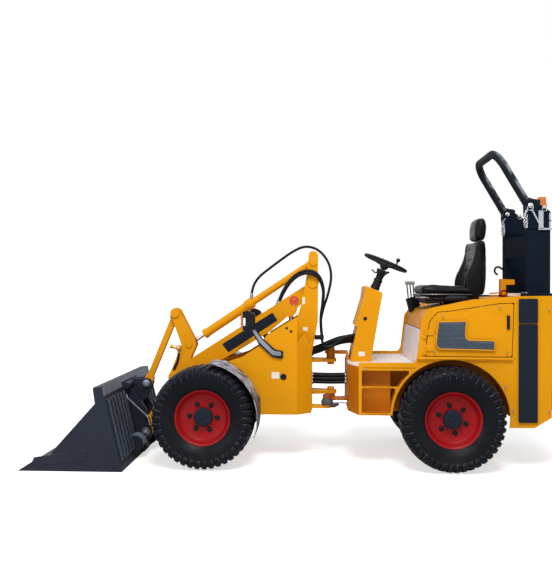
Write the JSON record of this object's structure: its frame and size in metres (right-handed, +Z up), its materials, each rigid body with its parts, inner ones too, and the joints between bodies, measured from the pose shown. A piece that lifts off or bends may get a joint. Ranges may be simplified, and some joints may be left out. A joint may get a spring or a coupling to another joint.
{
  "type": "articulated wheel loader",
  "caption": "Compact articulated wheel loader with an open driver's seat, folding roll bar, boom and bucket linkage, quick hitch, lugged tyres and opening engine doors",
  "frame": {"origin": "middle of the machine's length and width, on the ground", "axes": "+X forward out of the bucket, +Y to the driver's left, +Z up"},
  "size_m": [3.853, 1.4, 2.34],
  "materials": {
    "yellow_paint": "gloss",
    "red_paint": "satin",
    "slate_paint": "satin",
    "dark_paint": "satin",
    "black_paint": "satin",
    "tyre_rubber": "matte",
    "pin_steel": "satin",
    "rod_chrome": "polished",
    "floor_metal": "satin",
    "engine_iron": "matte",
    "black_plastic": "matte",
    "seat_leather": "satin",
    "amber_plastic": "gloss"
  },
  "bodies": {
    "rear_body": {"rear_frame": "yellow_paint", "rear_axle": "black_paint", "pivot_pins": "yellow_paint", "side_panel_left": "yellow_paint", "side_panel_right": "yellow_paint", "hood": "yellow_paint", "riser_plate": "floor_metal", "floor_plate": "floor_metal", "tail_panel": "dark_paint", "tail_bumper": "black_paint", "tow_hitch": "black_paint", "engine_block": "engine_iron", "dash_tower": "yellow_paint", "steering_column": "black_plastic", "seat_base": "black_paint", "seat_cushion": "seat_leather", "seat_back": "seat_leather", "headrest": "seat_leather", "control_levers": "black_plastic", "rops_posts": "dark_paint", "beacon": "amber_plastic"},
    "front": {"front_frame": "yellow_paint", "front_axle": "black_paint", "front_fenders": "black_plastic", "work_lamps": "black_plastic"},
    "boom": {"boom": "yellow_paint"},
    "hitch_pin": {"hitch_pin": "pin_steel"},
    "bucket": {"quick_hitch": "slate_paint", "bucket": "slate_paint"},
    "crank_pin": {"crank_pin": "yellow_paint"},
    "bellcrank": {"bellcrank": "yellow_paint"},
    "link_pin": {"link_pin": "yellow_paint"},
    "tilt_link": {"tilt_link": "yellow_paint"},
    "tilt_barrel": {"tilt_barrel": "yellow_paint"},
    "tilt_rod": {"tilt_rod": "rod_chrome"},
    "lift_barrel": {"lift_barrel": "black_paint"},
    "lift_rod": {"lift_rod": "rod_chrome"},
    "steer_barrel": {"steer_barrel": "black_paint"},
    "steer_rod": {"steer_rod": "rod_chrome"},
    "rops_hoop": {"rops_hoop": "dark_paint"},
    "door_left": {"door_left": "yellow_paint"},
    "door_right": {"door_right": "yellow_paint"},
    "steering_wheel": {"steering_wheel": "black_plastic"},
    "wheel_front_left": {"tyre_front_left": "tyre_rubber", "rim_front_left": "red_paint", "hub_front_left": "dark_paint"},
    "wheel_front_right": {"tyre_front_right": "tyre_rubber", "rim_front_right": "red_paint", "hub_front_right": "dark_paint"},
    "wheel_rear_left": {"tyre_rear_left": "tyre_rubber", "rim_rear_left": "red_paint", "hub_rear_left": "dark_paint"},
    "wheel_rear_right": {"tyre_rear_right": "tyre_rubber", "rim_rear_right": "red_paint", "hub_rear_right": "dark_paint"}
  },
  "joints": [
    {"name": "articulation", "type": "hinge", "parent": "rear_body", "child": "front", "pos_m": [-0.317, 0, 0.6], "axis": [0, 0, 1], "range_deg": [-40, 40]},
    {"name": "boom_lift", "type": "hinge", "parent": "front", "child": "boom", "pos_m": [-0.177, 0, 1.349], "axis": [0, -1, 0], "range_deg": [0, 72]},
    {"name": "hitch_level", "type": "hinge", "parent": "boom", "child": "hitch_pin", "pos_m": [1.139, 0, 0.17], "axis": [0, 1, 0], "range_deg": [0, 63.5]},
    {"name": "bucket_tilt", "type": "hinge", "parent": "hitch_pin", "child": "bucket", "pos_m": [1.139, 0, 0.17], "axis": [0, 1, 0], "range_deg": [-18, 48]},
    {"name": "crank_level", "type": "hinge", "parent": "boom", "child": "crank_pin", "pos_m": [0.915, 0, 0.6], "axis": [0, 1, 0], "range_deg": [0, 51.2]},
    {"name": "crank_swing", "type": "hinge", "parent": "crank_pin", "child": "bellcrank", "pos_m": [0.915, 0, 0.6], "axis": [0, 1, 0], "range_deg": [-14.3, 37.9]},
    {"name": "link_level", "type": "hinge", "parent": "bellcrank", "child": "link_pin", "pos_m": [0.916, 0, 1.104], "axis": [0, -1, 0], "range_deg": [0, 44.2]},
    {"name": "link_swing", "type": "hinge", "parent": "link_pin", "child": "tilt_link", "pos_m": [0.916, 0, 1.104], "axis": [0, -1, 0], "range_deg": [-11.6, 30.7]},
    {"name": "tilt_barrel_swing", "type": "hinge", "parent": "front", "child": "tilt_barrel", "pos_m": [-0.18, 0, 1.51], "axis": [0, -1, 0], "range_deg": [0, 77.5]},
    {"name": "tilt_rod_slide", "type": "slide", "parent": "tilt_barrel", "child": "tilt_rod", "axis": [0.833, 0, -0.5533], "range_m": [-0.063, 0.166]},
    {"name": "lift_barrel_swing", "type": "hinge", "parent": "front", "child": "lift_barrel", "pos_m": [-0.1, 0, 0.48], "axis": [0, 1, 0], "range_deg": [0, 4.1]},
    {"name": "lift_rod_slide", "type": "slide", "parent": "lift_barrel", "child": "lift_rod", "axis": [0.1624, 0, 0.9867], "range_m": [0, 0.336]},
    {"name": "steer_barrel_swing", "type": "hinge", "parent": "rear_body", "child": "steer_barrel", "pos_m": [-0.875, 0.172, 0.43], "axis": [0, 0, 1], "range_deg": [-1.3, 1.3]},
    {"name": "steer_rod_slide", "type": "slide", "parent": "steer_barrel", "child": "steer_rod", "axis": [1, 0, 0], "range_m": [-0.113, 0.113]},
    {"name": "rops_fold", "type": "hinge", "parent": "rear_body", "child": "rops_hoop", "pos_m": [-1.763, 0, 1.905], "axis": [0, -1, 0], "range_deg": [0, 120]},
    {"name": "door_left_swing", "type": "hinge", "parent": "rear_body", "child": "door_left", "pos_m": [-0.984, 0.5075, 0.93], "axis": [0, 0, -1], "range_deg": [0, 95]},
    {"name": "door_right_swing", "type": "hinge", "parent": "rear_body", "child": "door_right", "pos_m": [-0.984, -0.5075, 0.93], "axis": [0, 0, 1], "range_deg": [0, 95]},
    {"name": "steering_wheel_turn", "type": "hinge", "parent": "rear_body", "child": "steering_wheel", "pos_m": [-0.749, 0, 1.5], "axis": [-0.3907, 0, 0.9205], "continuous": true},
    {"name": "wheel_front_left_spin", "type": "hinge", "parent": "front", "child": "wheel_front_left", "pos_m": [0.613, 0.491, 0.371], "axis": [0, 1, 0], "continuous": true},
    {"name": "wheel_front_right_spin", "type": "hinge", "parent": "front", "child": "wheel_front_right", "pos_m": [0.613, -0.491, 0.371], "axis": [0, 1, 0], "continuous": true},
    {"name": "wheel_rear_left_spin", "type": "hinge", "parent": "rear_body", "child": "wheel_rear_left", "pos_m": [-1.167, 0.491, 0.371], "axis": [0, 1, 0], "continuous": true},
    {"name": "wheel_rear_right_spin", "type": "hinge", "parent": "rear_body", "child": "wheel_rear_right", "pos_m": [-1.167, -0.491, 0.371], "axis": [0, 1, 0], "continuous": true}
  ],
  "couplings": [
    {"joint": "hitch_level", "follows": "boom_lift", "ratio": 0.88},
    {"joint": "crank_level", "follows": "boom_lift", "ratio": 0.7087},
    {"joint": "crank_swing", "follows": "bucket_tilt", "ratio": 0.7855},
    {"joint": "link_level", "follows": "boom_lift", "ratio": 0.6124},
    {"joint": "link_swing", "follows": "bucket_tilt", "ratio": 0.6369},
    {"joint": "tilt_barrel_swing", "follows": "boom_lift", "ratio": 1.075},
    {"joint": "tilt_rod_slide", "follows": "bucket_tilt", "m_per_rad": 0.19696},
    {"joint": "lift_barrel_swing", "follows": "boom_lift", "ratio": 0.055},
    {"joint": "lift_rod_slide", "follows": "boom_lift", "m_per_rad": 0.266},
    {"joint": "steer_barrel_swing", "follows": "articulation", "ratio": 0.03},
    {"joint": "steer_rod_slide", "follows": "articulation", "m_per_rad": -0.16}
  ]
}
